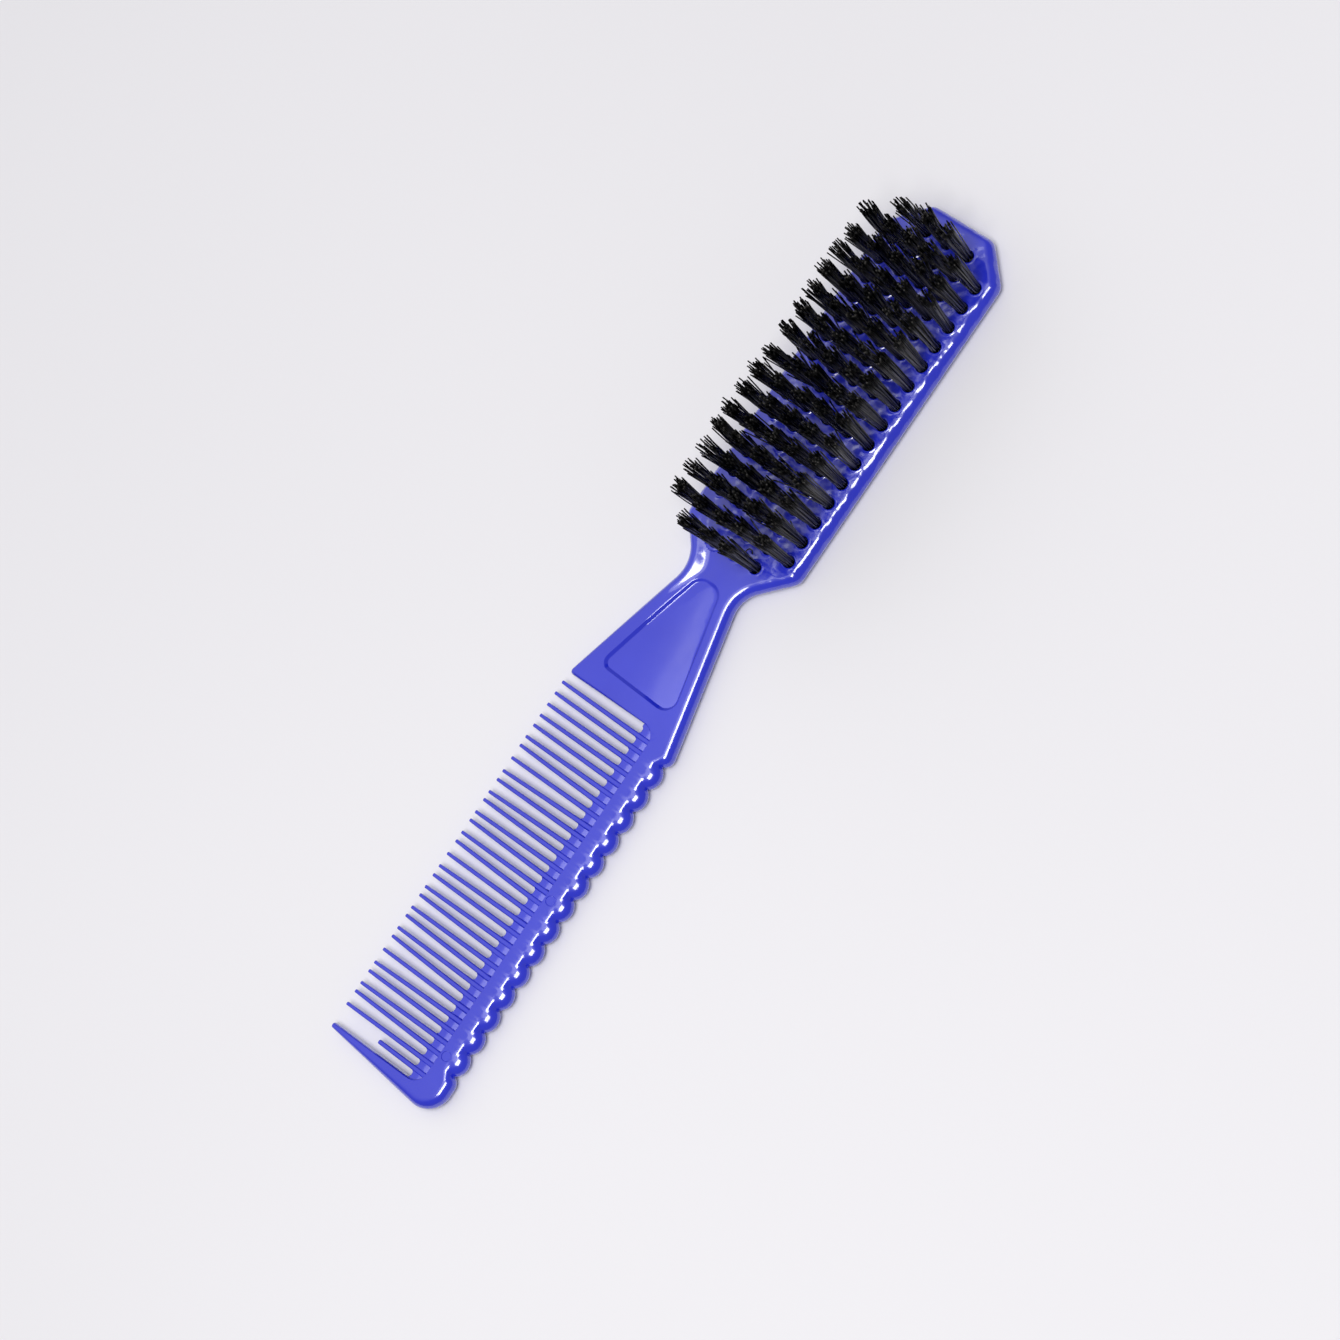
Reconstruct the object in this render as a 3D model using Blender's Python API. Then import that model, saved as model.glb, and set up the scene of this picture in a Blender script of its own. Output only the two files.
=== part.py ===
"""Fade brush for a barber: one moulded body, with a tufted brush head and a comb for a handle.

The brush lies on its flat back. +Z is the way the bristles stand, +Y runs from the comb's end to the
top of the head, and the comb's teeth point towards -X. The design is worked out in millimetres, with
X = 0 on the neck's centre line, Y = 0 close to the comb's end and Z = 0 on the back. ORIGIN moves
it, so that the finished part's origin is under the middle of its bounding box.
"""

import math

import bmesh
import bpy
from mathutils import Vector
from mathutils.geometry import delaunay_2d_cdt

MM = 0.001

# The whole brush
HEAD_TOP = 216.0
COMB_END = -0.45
THICKNESS = 4.4
EDGE_ROLL = 2.2
RING_ANGLES = (0, 35, 65, 90)
ARC_STEP = math.radians(18)
FAN_STEP = math.radians(36)
SAME_POINT = 0.01
LONG_OUTLINE = 60

# The head
HEAD_HALF_WIDTH = 15.0
HEAD_CORNER_X = 7.2
HEAD_CORNER_Y = 7.6
HEAD_BOTTOM = 134.4
HEAD_FILLET = 3.0
HEAD_LEAN = 0.008
LEAN_START = 130.0

# The neck and the paddle below it
NECK_RIGHT = (5.8, 125.0)
NECK_RIGHT_FILLET = 7.0
NECK_LEFT = (-7.7, 125.6)
NECK_LEFT_FILLET = 8.0
PADDLE_RIGHT = (14.1, 87.9)
PADDLE_RIGHT_FILLET = 2.4
PADDLE_BOTTOM = 92.2
PADDLE_LEFT_FILLET = 0.9
THIN_ROLL = 0.8
PADDLE_SLOPE_START = -4.0
PADDLE_SLOPE_TOP = 119.6
PADDLE_EDGE_LOSS = 1.45
WEDGE_SPARE = 2.0

# The thumb panel sunk in the paddle's front
PANEL_CORNERS = ((-12.0, 97.4, 1.0), (8.6, 96.4, 3.0), (2.0, 124.5, 3.2), (-4.2, 124.5, 3.2))
PANEL_DEPTH = 0.6

# The comb
SPINE_STEP = 7.15
SLOT_ROOT = 4.15
TOOTH_TIP = -17.2
TOOTH_PITCH = 2.7
TOP_TOOTH = 89.5
TOOTH_HALF_WIDTH = 0.64
TOOTH_HALF_HEIGHT = 1.5
TOOTH_TIP_SHARE = 0.66
TOOTH_SIDES = 8
TOOTH_OVERLAP = 0.8
SHORT_TOOTH_TIP = -6.3
# How far use has bent each full tooth's tip along Y, from the top tooth down
TIP_DRIFT = (
    0.3, 0.25, 0.1, 0.0, 0.2, 0.0, 0.5, 0.0, -0.6, -0.1, -0.5, 0.2, -0.2, 0.4, 0.0, 0.5,
    0.0, -0.4, 0.0, -0.3, 0.3, -0.1, 0.5, 0.1, 0.65, 0.0, -0.6, -0.1, -0.4, 0.2, -0.3,
)
WEB_THICKNESS = 2.0
WEB_OVERLAP = 1.5
STEP_ROLL = 0.4
STEP_FILLET = 3.0

# The thick tooth that guards the comb's end
GUARD_LOW = 2.12
GUARD_HIGH = 3.42
GUARD_ROOT_TOP = 3.75
GUARD_TOP_LIMIT = 4.75
GUARD_ROLL = 0.55
GUARD_FILLET = 0.6
GUARD_TIP_THICKNESS = 2.2
END_CORNER = (13.9, -1.1)
END_FILLET = 5.6

# The beads along the comb's spine
BEAD_COUNT = 14
BEAD_PITCH = 5.54
BEAD_PEAK = 13.77
BEAD_VALLEY = 12.35
FIRST_VALLEY = 9.25
END_BEAD_CORNER = 8.3
END_BEAD_FILLET = 2.6

# The tufts and the blind holes that they are stapled into
ROW_COUNT = 17
ROW_PITCH = 4.89
TOP_ROW = 210.3
COLUMN_PITCH = 5.4
HOLE_RADIUS = 1.4
HOLE_DEPTH = 3.0
HOLE_SPARE = 1.0
HOLE_SIDES = 8
TUFT_SIDES = 8
TUFT_GAP = 0.3
TUFT_ROOT_RADIUS = 0.98
TUFT_WAIST_RADIUS = 1.15
TUFT_WAIST = 9.0
TUFT_TIP_RADIUS = 2.05
BRISTLE_LENGTH = 21.0
PAIR_LEAN = 0.9

HEAD_RIGHT = HEAD_HALF_WIDTH + HEAD_LEAN * (HEAD_TOP - HEAD_CORNER_Y - LEAN_START)
ORIGIN = Vector(((HEAD_RIGHT + TOOTH_TIP) / 2, (HEAD_TOP + COMB_END) / 2, 0.0))
MIDDLE = THICKNESS / 2


def placed(x, y, z):
    """A point of the design, in metres from the part's origin. The head leans a little off the comb's line."""
    leant = x + HEAD_LEAN * max(0.0, y - LEAN_START)
    return (Vector((leant, y, z)) - ORIGIN) * MM


def clear_scene():
    for obj in list(bpy.data.objects):
        bpy.data.objects.remove(obj, do_unlink=True)


def new_collection(name):
    collection = bpy.data.collections.new(name)
    bpy.context.scene.collection.children.link(collection)
    return collection


def principled(name, color, roughness):
    material = bpy.data.materials.new(name)
    material.use_nodes = True
    shader = material.node_tree.nodes["Principled BSDF"]
    shader.inputs["Base Color"].default_value = (*color, 1.0)
    shader.inputs["Roughness"].default_value = roughness
    shader.inputs["Metallic"].default_value = 0.0
    return material


def object_from(bm, name, collection):
    mesh = bpy.data.meshes.new(name)
    bmesh.ops.remove_doubles(bm, verts=bm.verts, dist=0.002 * MM)
    bmesh.ops.recalc_face_normals(bm, faces=bm.faces)
    bm.to_mesh(mesh)
    bm.free()
    obj = bpy.data.objects.new(name, mesh)
    collection.objects.link(obj)
    return obj


def helper(obj):
    """Marks a cutter, or a shape that a Boolean joins to the body."""
    obj.hide_render = True
    obj.display_type = "WIRE"
    return obj


def boolean(target, other, operation):
    modifier = target.modifiers.new(other.name, "BOOLEAN")
    modifier.operation = operation
    modifier.solver = "EXACT"
    modifier.object = other


def loft(bm, rings):
    """Joins rings of points, each as long as the next, into one closed skin with flat ends."""
    made = [[bm.verts.new(placed(*point)) for point in ring] for ring in rings]
    for low, high in zip(made, made[1:]):
        for i, corner in enumerate(low):
            j = (i + 1) % len(low)
            bm.faces.new((corner, low[j], high[j], high[i]))
    cap(bm, list(reversed(made[0])))
    cap(bm, made[-1])


def cap(bm, corners):
    """Closes a ring of vertices. A long outline lies flat in XY, and is filled with even triangles."""
    if len(corners) < LONG_OUTLINE:
        bm.faces.new(corners)
        return
    flat = [corner.co.xy / MM for corner in corners]
    filled = delaunay_2d_cdt(flat, [], [list(range(len(flat)))], 1, 0.001)
    origins = filled[3]
    for triangle in filled[2]:
        bm.faces.new([corners[origins[i][0]] for i in triangle])


def polygon(sides):
    """The directions of the corners of a regular polygon, with a flat side towards each axis."""
    angles = [2 * math.pi * (i + 0.5) / sides for i in range(sides)]
    return [(math.cos(angle), math.sin(angle)) for angle in angles]


# Outlines: each point carries the heading of the edge there, so that the way inwards is known even
# where two arcs meet in a sharp valley.


def arc(centre, radius, start, turn, roll):
    """Points with headings along an arc. start is the first heading, and a turn to the left is positive."""
    side = math.copysign(1, turn)
    steps = max(2, math.ceil(abs(turn) / ARC_STEP))
    points = []
    for i in range(steps + 1):
        heading = start + turn * i / steps
        x = centre[0] + side * radius * math.sin(heading)
        y = centre[1] - side * radius * math.cos(heading)
        points.append((x, y, heading, roll))
    return points


def heading_of(start, end):
    return math.atan2(end[1] - start[1], end[0] - start[0])


def wrapped(angle):
    return (angle + math.pi) % (2 * math.pi) - math.pi


def filleted(before, corner, after, radius, roll):
    """The arc of this radius that rounds a corner of the outline."""
    start = heading_of(before, corner)
    turn = wrapped(heading_of(corner, after) - start)
    side = math.copysign(1, turn)
    reach = radius * math.tan(abs(turn) / 2)
    x = corner[0] - reach * math.cos(start) - side * radius * math.sin(start)
    y = corner[1] - reach * math.sin(start) + side * radius * math.cos(start)
    return arc((x, y), radius, start, turn, roll)


def bead_edge():
    """The scalloped edge of the spine, from the end of the comb up to the paddle."""
    height = BEAD_PEAK - BEAD_VALLEY
    radius = (BEAD_PITCH**2 / 4 + height**2) / (2 * height)
    half = math.asin(BEAD_PITCH / 2 / radius)
    centre_x = BEAD_PEAK - radius
    points = []
    for i in range(BEAD_COUNT):
        centre = (centre_x, FIRST_VALLEY + (i + 0.5) * BEAD_PITCH)
        points += arc(centre, radius, math.pi / 2 - half, 2 * half, EDGE_ROLL)
    return points


def body_outline():
    """The edge of the thick part of the moulding, anticlockwise, as (x, y, heading, roll)."""
    chamfer_low = HEAD_TOP - HEAD_CORNER_Y
    chamfer_in = HEAD_HALF_WIDTH - HEAD_CORNER_X
    valley_low = (BEAD_VALLEY, FIRST_VALLEY)
    valley_high = (BEAD_VALLEY, FIRST_VALLEY + BEAD_COUNT * BEAD_PITCH)
    lower = [
        (TOOTH_TIP, GUARD_HIGH, GUARD_FILLET, GUARD_ROLL),
        (TOOTH_TIP, GUARD_LOW, GUARD_FILLET, GUARD_ROLL),
        (*END_CORNER, END_FILLET, EDGE_ROLL),
        (BEAD_PEAK, END_BEAD_CORNER, END_BEAD_FILLET, EDGE_ROLL),
    ]
    upper = [
        (*PADDLE_RIGHT, PADDLE_RIGHT_FILLET, EDGE_ROLL),
        (*NECK_RIGHT, NECK_RIGHT_FILLET, EDGE_ROLL),
        (HEAD_HALF_WIDTH, HEAD_BOTTOM, HEAD_FILLET, EDGE_ROLL),
        (HEAD_HALF_WIDTH, chamfer_low, HEAD_FILLET, EDGE_ROLL),
        (chamfer_in, HEAD_TOP, HEAD_FILLET, EDGE_ROLL),
        (-chamfer_in, HEAD_TOP, HEAD_FILLET, EDGE_ROLL),
        (-HEAD_HALF_WIDTH, chamfer_low, HEAD_FILLET, EDGE_ROLL),
        (-HEAD_HALF_WIDTH, HEAD_BOTTOM, HEAD_FILLET, EDGE_ROLL),
        (*NECK_LEFT, NECK_LEFT_FILLET, EDGE_ROLL),
        (TOOTH_TIP, PADDLE_BOTTOM, PADDLE_LEFT_FILLET, THIN_ROLL),
        (SPINE_STEP, PADDLE_BOTTOM, STEP_FILLET, STEP_ROLL),
        (SPINE_STEP, GUARD_ROOT_TOP, STEP_FILLET, STEP_ROLL),
    ]
    below = [upper[-1], *lower, valley_low]
    above = [valley_high, *upper, lower[0]]
    points = []
    for before, corner, after in zip(below, below[1:], below[2:]):
        points += filleted(before, corner, after, corner[2], corner[3])
    points += bead_edge()
    for before, corner, after in zip(above, above[1:], above[2:]):
        points += filleted(before, corner, after, corner[2], corner[3])
    return with_fans(points)


def with_fans(points):
    """The same outline, with the headings between added wherever it turns sharply at one point."""
    result = []
    for index, (x, y, heading, roll) in enumerate(points):
        result.append((x, y, heading, roll))
        next_x, next_y, next_heading, _ = points[(index + 1) % len(points)]
        if math.hypot(next_x - x, next_y - y) < SAME_POINT:
            turn = wrapped(next_heading - heading)
            steps = max(1, math.ceil(abs(turn) / FAN_STEP))
            result += [(x, y, heading + turn * i / steps, roll) for i in range(1, steps)]
    return result


def half_thickness(x, y):
    """Half the moulding's thickness: full everywhere but along the guard tooth, which thins to its tip."""
    if y > GUARD_TOP_LIMIT or x > SLOT_ROOT:
        return MIDDLE
    share = (SLOT_ROOT - x) / (SLOT_ROOT - TOOTH_TIP)
    return MIDDLE + share * (GUARD_TIP_THICKNESS / 2 - MIDDLE)


def rolled_plate(name, outline, collection):
    """A plate with the given outline, whose edge is rounded all the way from its back to its front."""
    tilts = [-angle for angle in reversed(RING_ANGLES[1:])] + list(RING_ANGLES)
    rings = []
    for tilt in tilts:
        angle = math.radians(tilt)
        ring = []
        for x, y, heading, roll in outline:
            inwards = roll * (1 - math.cos(angle))
            px = x - math.sin(heading) * inwards
            py = y + math.cos(heading) * inwards
            ring.append((px, py, MIDDLE + half_thickness(x, y) * math.sin(angle)))
        rings.append(ring)
    bm = bmesh.new()
    loft(bm, rings)
    return object_from(bm, name, collection)


def box(name, low, high, collection):
    bm = bmesh.new()
    bmesh.ops.create_cube(bm, size=1)
    low = placed(*low)
    high = placed(*high)
    bmesh.ops.scale(bm, verts=bm.verts, vec=high - low)
    bmesh.ops.translate(bm, verts=bm.verts, vec=(low + high) / 2)
    return object_from(bm, name, collection)


def extruded(name, corners, low, high, collection):
    """A flat outline of filleted corners, extruded from one height to the other."""
    outline = []
    for i, corner in enumerate(corners):
        before = corners[i - 1]
        after = corners[(i + 1) % len(corners)]
        outline += filleted(before, corner, after, corner[2], 0)
    bm = bmesh.new()
    loft(bm, [[(x, y, z) for x, y, _, _ in outline] for z in (low, high)])
    return object_from(bm, name, collection)


def add_tooth(bm, y, tip, drift):
    """One tapering comb tooth with a round tip, along -X from inside the spine. drift bends its tip in Y."""
    root = SPINE_STEP + TOOTH_OVERLAP
    share = (root - tip) / (root - TOOTH_TIP)
    tip_size = 1 - share * (1 - TOOTH_TIP_SHARE)
    tip_radius = TOOTH_HALF_WIDTH * tip_size
    rings = []
    for x, size in ((root, 1.0), (tip + tip_radius, tip_size), (tip, 0.4 * tip_size)):
        bent = y + drift * (root - x) / (root - tip)
        ring = []
        for side, up in polygon(TOOTH_SIDES):
            z = MIDDLE + up * TOOTH_HALF_HEIGHT * size
            ring.append((x, bent + side * TOOTH_HALF_WIDTH * size, z))
        rings.append(ring)
    loft(bm, rings)


def comb_teeth(collection):
    bm = bmesh.new()
    for i, drift in enumerate(TIP_DRIFT):
        add_tooth(bm, TOP_TOOTH - i * TOOTH_PITCH, TOOTH_TIP, drift)
    add_tooth(bm, TOP_TOOTH - len(TIP_DRIFT) * TOOTH_PITCH, SHORT_TOOTH_TIP, 0.0)
    return object_from(bm, "comb_teeth", collection)


def paddle_slopes(collection):
    """Two wedges that thin the paddle towards its comb side, one over the front and one under the back."""
    bm = bmesh.new()
    for side in (1, -1):
        wedge = bmesh.ops.create_cube(bm, size=1)["verts"]
        for vert in wedge:
            outer = vert.co.x < 0
            lower = vert.co.y < 0
            x = TOOTH_TIP - WEDGE_SPARE if outer else PADDLE_SLOPE_START
            y = PADDLE_BOTTOM - WEDGE_SPARE if lower else PADDLE_SLOPE_TOP
            loss = PADDLE_EDGE_LOSS if outer and lower else 0.0
            height = MIDDLE - loss if vert.co.z < 0 else MIDDLE + WEDGE_SPARE
            vert.co = placed(x, y, MIDDLE + side * height)
    return object_from(bm, "paddle_slopes", collection)


def row_columns(row):
    """The tuft columns of a row: five in most, and the middle three in the first and the last."""
    if row in (0, ROW_COUNT - 1):
        return (-1, 0, 1)
    return (-2, -1, 0, 1, 2)


def tuft_holes(collection):
    bm = bmesh.new()
    depth = HOLE_DEPTH + HOLE_SPARE
    for row in range(ROW_COUNT):
        for column in row_columns(row):
            made = bmesh.ops.create_cone(
                bm,
                cap_ends=True,
                segments=HOLE_SIDES,
                radius1=HOLE_RADIUS * MM,
                radius2=HOLE_RADIUS * MM,
                depth=depth * MM,
            )
            centre_z = THICKNESS - HOLE_DEPTH + depth / 2
            place = placed(column * COLUMN_PITCH, TOP_ROW - row * ROW_PITCH, centre_z)
            bmesh.ops.translate(bm, verts=made["verts"], vec=place)
    return object_from(bm, "tuft_holes", collection)


def tuft(name, row, column, lean, collection):
    """One tuft of bristles as a solid: straight in its hole, then flaring, with its tip leaning in X."""
    stations = [
        (THICKNESS - HOLE_DEPTH + TUFT_GAP, TUFT_ROOT_RADIUS, 0.0),
        (TUFT_WAIST, TUFT_WAIST_RADIUS, 0.0),
        (THICKNESS + BRISTLE_LENGTH, TUFT_TIP_RADIUS, lean),
    ]
    centre_x = column * COLUMN_PITCH
    centre_y = TOP_ROW - row * ROW_PITCH
    rings = []
    for z, radius, offset in stations:
        x = centre_x + offset
        rings.append([(x + radius * dx, centre_y + radius * dy, z) for dx, dy in polygon(TUFT_SIDES)])
    bm = bmesh.new()
    loft(bm, rings)
    return object_from(bm, name, collection)


def tuft_pair(name, row, outer, inner, parts, helpers):
    """Two neighbouring tufts whose tips splay into each other."""
    lean = math.copysign(PAIR_LEAN, inner - outer)
    made = tuft(name, row, outer, lean, parts)
    partner = helper(tuft(name + "_partner", row, inner, -lean, helpers))
    boolean(made, partner, "UNION")
    return made


def brush_tufts(material, parts, helpers):
    for row in range(ROW_COUNT):
        label = f"tufts_row_{row + 1:02d}"
        if len(row_columns(row)) == 3:
            for column, side in ((-1, "left"), (0, "middle"), (1, "right")):
                tuft(f"{label}_{side}", row, column, 0.0, parts)
            continue
        tuft_pair(f"{label}_left_pair", row, -2, -1, parts, helpers)
        tuft(f"{label}_middle", row, 0, 0.0, parts)
        tuft_pair(f"{label}_right_pair", row, 2, 1, parts, helpers)
    for obj in parts.objects:
        if obj.name.startswith("tufts_row_"):
            obj.data.materials.append(material)


def brush_body(material, parts, helpers):
    body = rolled_plate("body", body_outline(), parts)
    web_low = (SLOT_ROOT, GUARD_ROOT_TOP - WEB_OVERLAP, MIDDLE - WEB_THICKNESS / 2)
    web_high = (SPINE_STEP + WEB_OVERLAP, PADDLE_BOTTOM + WEB_OVERLAP, MIDDLE + WEB_THICKNESS / 2)
    web = helper(box("comb_web", web_low, web_high, helpers))
    teeth = helper(comb_teeth(helpers))
    panel_floor = THICKNESS - PANEL_DEPTH
    panel_top = THICKNESS + PANEL_DEPTH
    panel = helper(extruded("thumb_panel", PANEL_CORNERS, panel_floor, panel_top, helpers))
    slopes = helper(paddle_slopes(helpers))
    holes = helper(tuft_holes(helpers))
    boolean(body, slopes, "DIFFERENCE")
    boolean(body, web, "UNION")
    boolean(body, teeth, "UNION")
    boolean(body, panel, "DIFFERENCE")
    boolean(body, holes, "DIFFERENCE")
    body.data.materials.append(material)
    return body


def main():
    clear_scene()
    parts = new_collection("fade_brush")
    helpers = new_collection("helpers")
    plastic = principled("moulded_plastic", (0.055, 0.075, 0.62), 0.22)
    nylon = principled("black_nylon", (0.012, 0.012, 0.013), 0.42)
    brush_body(plastic, parts, helpers)
    brush_tufts(nylon, parts, helpers)


main()
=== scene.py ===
"""Looks of the fade brush: the glossy moulded body, the bristle tufts, their anchors, and the studio.

The brush is worked out in millimetres in the CAD part's own layout: X = 0 on the neck's centre line,
Y = 0 close to the comb's end, Z = 0 on the flat back. placed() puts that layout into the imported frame.
"""

import math
import random

import bmesh
import bpy
import numpy as np
from mathutils import Matrix, Vector
from mathutils.geometry import delaunay_2d_cdt


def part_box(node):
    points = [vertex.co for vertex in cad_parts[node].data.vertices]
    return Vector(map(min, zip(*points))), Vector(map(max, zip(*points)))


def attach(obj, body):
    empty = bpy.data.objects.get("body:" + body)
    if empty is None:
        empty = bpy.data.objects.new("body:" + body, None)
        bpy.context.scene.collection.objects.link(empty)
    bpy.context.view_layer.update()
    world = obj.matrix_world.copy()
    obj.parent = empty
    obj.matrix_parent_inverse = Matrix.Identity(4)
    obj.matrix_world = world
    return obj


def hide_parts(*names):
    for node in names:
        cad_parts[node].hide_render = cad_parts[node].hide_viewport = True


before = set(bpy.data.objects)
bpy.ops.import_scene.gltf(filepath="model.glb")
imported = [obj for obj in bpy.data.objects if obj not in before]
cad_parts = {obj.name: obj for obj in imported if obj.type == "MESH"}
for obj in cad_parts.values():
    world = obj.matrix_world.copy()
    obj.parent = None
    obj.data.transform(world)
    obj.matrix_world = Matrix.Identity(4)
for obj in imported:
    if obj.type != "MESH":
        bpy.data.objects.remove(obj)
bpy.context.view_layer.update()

MM = 0.001

# The moulding, in millimetres
HEAD_TOP = 216.0
THICKNESS = 4.4
MIDDLE = THICKNESS / 2
EDGE_ROLL = 2.2

# How finely it is meshed, and the angle over which an edge stays sharp
ROLL_STEPS = 12
ARC_STEP = math.radians(5)
FAN_STEP = math.radians(9)
LONGEST_EDGE = 1.2
SAME_POINT = 0.01
MERGE_DISTANCE = 0.002
PLAN_TOLERANCE = 1e-5
SHARP_EDGE = math.radians(34)

# The points spread within the faces: how far apart they are, and two corners of each area they fill
GRID_STEP = 1.3
FINE_STEP = 0.42
GRID_CLEARANCE = 0.55
PADDLE_AREA = ((-17.0, 92.0), (14.0, 134.0))
GUARD_AREA = ((-17.0, 1.0), (4.0, 4.6))
NECK_AREA = ((-9.0, 117.0), (4.0, 134.0))

# The head
HEAD_HALF_WIDTH = 15.0
HEAD_CORNER_X = 7.2
HEAD_CORNER_Y = 7.6
HEAD_BOTTOM = 134.4
HEAD_FILLET = 3.0
HEAD_LEAN = 0.008
LEAN_START = 130.0

# The neck and the paddle below it
NECK_RIGHT = (5.8, 125.0)
NECK_RIGHT_FILLET = 7.0
NECK_LEFT = (-7.7, 125.6)
NECK_LEFT_FILLET = 8.0
PADDLE_RIGHT = (14.1, 87.9)
PADDLE_RIGHT_FILLET = 2.4
PADDLE_BOTTOM = 92.2
PADDLE_LEFT_FILLET = 0.9
THIN_ROLL = 0.8
PADDLE_SLOPE_START = -4.0
PADDLE_SLOPE_TOP = 119.6
PADDLE_SLOPE_END = (-19.2, 90.2)
PADDLE_EDGE_LOSS = 1.45
SLOPE_EASE = 0.12

# The thumb panel sunk in the paddle's front. A corner is (x, y, radius), and a ring of its edge is
# (distance inwards, share of the depth where the edge is crisp, share where it is soft).
PANEL_CORNERS = ((-12.0, 97.4, 2.0), (8.6, 96.4, 3.0), (2.0, 124.5, 3.2), (-4.2, 124.5, 3.2))
PANEL_DEPTH = 0.6
PANEL_RINGS = (
    (-0.36, 0.0, 0.0),
    (-0.28, 0.0, 0.006),
    (-0.20, 0.0, 0.026),
    (-0.12, 0.0, 0.065),
    (-0.05, 0.10, 0.13),
    (0.05, 0.243, 0.25),
    (0.15, 0.386, 0.38),
    (0.25, 0.529, 0.51),
    (0.35, 0.672, 0.65),
    (0.45, 0.815, 0.79),
    (0.52, 0.915, 0.865),
    (0.58, 1.0, 0.915),
    (0.64, 1.0, 0.945),
    (0.70, 1.0, 0.968),
    (0.76, 1.0, 0.987),
    (0.84, 1.0, 1.0),
)
PANEL_SOFTENING = (107.0, 118.0)
PANEL_MARGIN = 0.35
PANEL_FADE = 0.9
PANEL_TILT = 0.044
PANEL_TILT_START = -4.0
PANEL_TILT_REACH = 6.6
PANEL_TILT_SLANT = 0.12

# The shallow hollow that the thick neck has shrunk to, along the inside of its left edge
SINK_FALL = 0.23
SINK_START = 1.4
SINK_NARROW = 2.9
SINK_WIDE = 5.0
SINK_WIDENING = (120.5, 127.0)
SINK_REACH = 2.6
SINK_MIDDLE = 124.5
SINK_HALF_LENGTH = 7.0

# The comb
SPINE_STEP = 7.15
SLOT_ROOT = 4.15
TOOTH_TIP = -17.2
TOOTH_PITCH = 2.7
TOP_TOOTH = 89.5
TOOTH_HALF_WIDTH = 0.64
TOOTH_HALF_HEIGHT = 1.5
TOOTH_TIP_SHARE = 0.66
TOOTH_SIDES = 20
TOOTH_SQUARENESS = 4.0
TOOTH_OVERLAP = 0.8
TOOTH_STEPS = 8
TIP_ANGLES = (0.5, 0.95, 1.3, 1.5)
TIP_FLATNESS = 0.55
SHORT_TOOTH_TIP = -6.3
DRIFT_POWER = 1.3

# How far each long tooth's tip wanders along the comb, from the top one down
TIP_DRIFT = (
    0.3, 0.25, 0.1, 0.0, 0.2, 0.0, 0.5, 0.0, -0.6, -0.1, -0.5, 0.2, -0.2, 0.4, 0.0, 0.5,
    0.0, -0.4, 0.0, -0.3, 0.3, -0.1, 0.5, 0.1, 0.65, 0.0, -0.6, -0.1, -0.4, 0.2, -0.3,
)

# The thin web at the teeth's roots, with the gaps' rounded ends, and the spine's wall beside it
WEB_THICKNESS = 2.0
WEB_OVERLAP = 1.5
WEB_FALL = 0.15
WEB_FALL_START = 5.6
WEB_STEP = 0.16
SLOT_FILLET = 0.45
WEB_FILLET = 0.22
WEB_WALL = 7.28
WEB_EDGE = 0.25
WEB_EDGE_STEPS = 4
WEB_FALL_STEPS = 5
WEB_FILLET_STEPS = 3
STEP_ROLL = 0.4
STEP_FILLET = 3.0

# The thick tooth that guards the comb's end
GUARD_LOW = 2.12
GUARD_HIGH = 3.42
GUARD_ROOT_TOP = 3.75
GUARD_TOP_LIMIT = 4.75
GUARD_ROLL = 0.55
GUARD_FILLET = 0.6
GUARD_TIP_THICKNESS = 2.2
END_CORNER = (13.9, -1.1)
END_FILLET = 5.6

# The beads along the comb's spine, and the two round ejector marks beside them
BEAD_COUNT = 14
BEAD_PITCH = 5.54
BEAD_PEAK = 13.77
BEAD_VALLEY = 12.35
FIRST_VALLEY = 9.25
END_BEAD_CORNER = 8.3
END_BEAD_FILLET = 2.6
BEAD_RADIUS = (BEAD_PITCH**2 / 4 + (BEAD_PEAK - BEAD_VALLEY) ** 2) / (2 * (BEAD_PEAK - BEAD_VALLEY))
LAST_VALLEY = FIRST_VALLEY + BEAD_COUNT * BEAD_PITCH
DOME_POWER = 2.2
SPINE_EDGE = 10.22
SPINE_ROLL = 1.8
BEAD_INNER = 10.13
MARKS = ((8.94, 50.9), (8.94, 11.9))
MARK_RADIUS = 1.0
MARK_LIP = 0.14
MARK_DEPTH = 0.14
MARK_SIDES = 32

# The tufts' rows, and the dents that they have left in the head's side
ROW_COUNT = 17
COLUMN_PITCH = 5.4
ROW_PITCH = 4.89
TOP_ROW = 210.3
DENT_DEPTH = 0.4
DENT_UNEVENNESS = 0.3
DENT_VARIATION = 2.3

# The tufts' holes, and the burr around each one
HOLE_RADIUS = 1.35
HOLE_LIP = 0.12
BURR_REACH = 0.5
BURR_HEIGHT = 0.07
BURR_LOWEST = 0.1
BURR_MEAN = 0.8
BURR_WAVES = 0.55
BURR_SEED = 5
HOLE_DEPTH = 3.0
HOLE_SIDES = 28
HOLE_SLACK = 0.02

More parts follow.
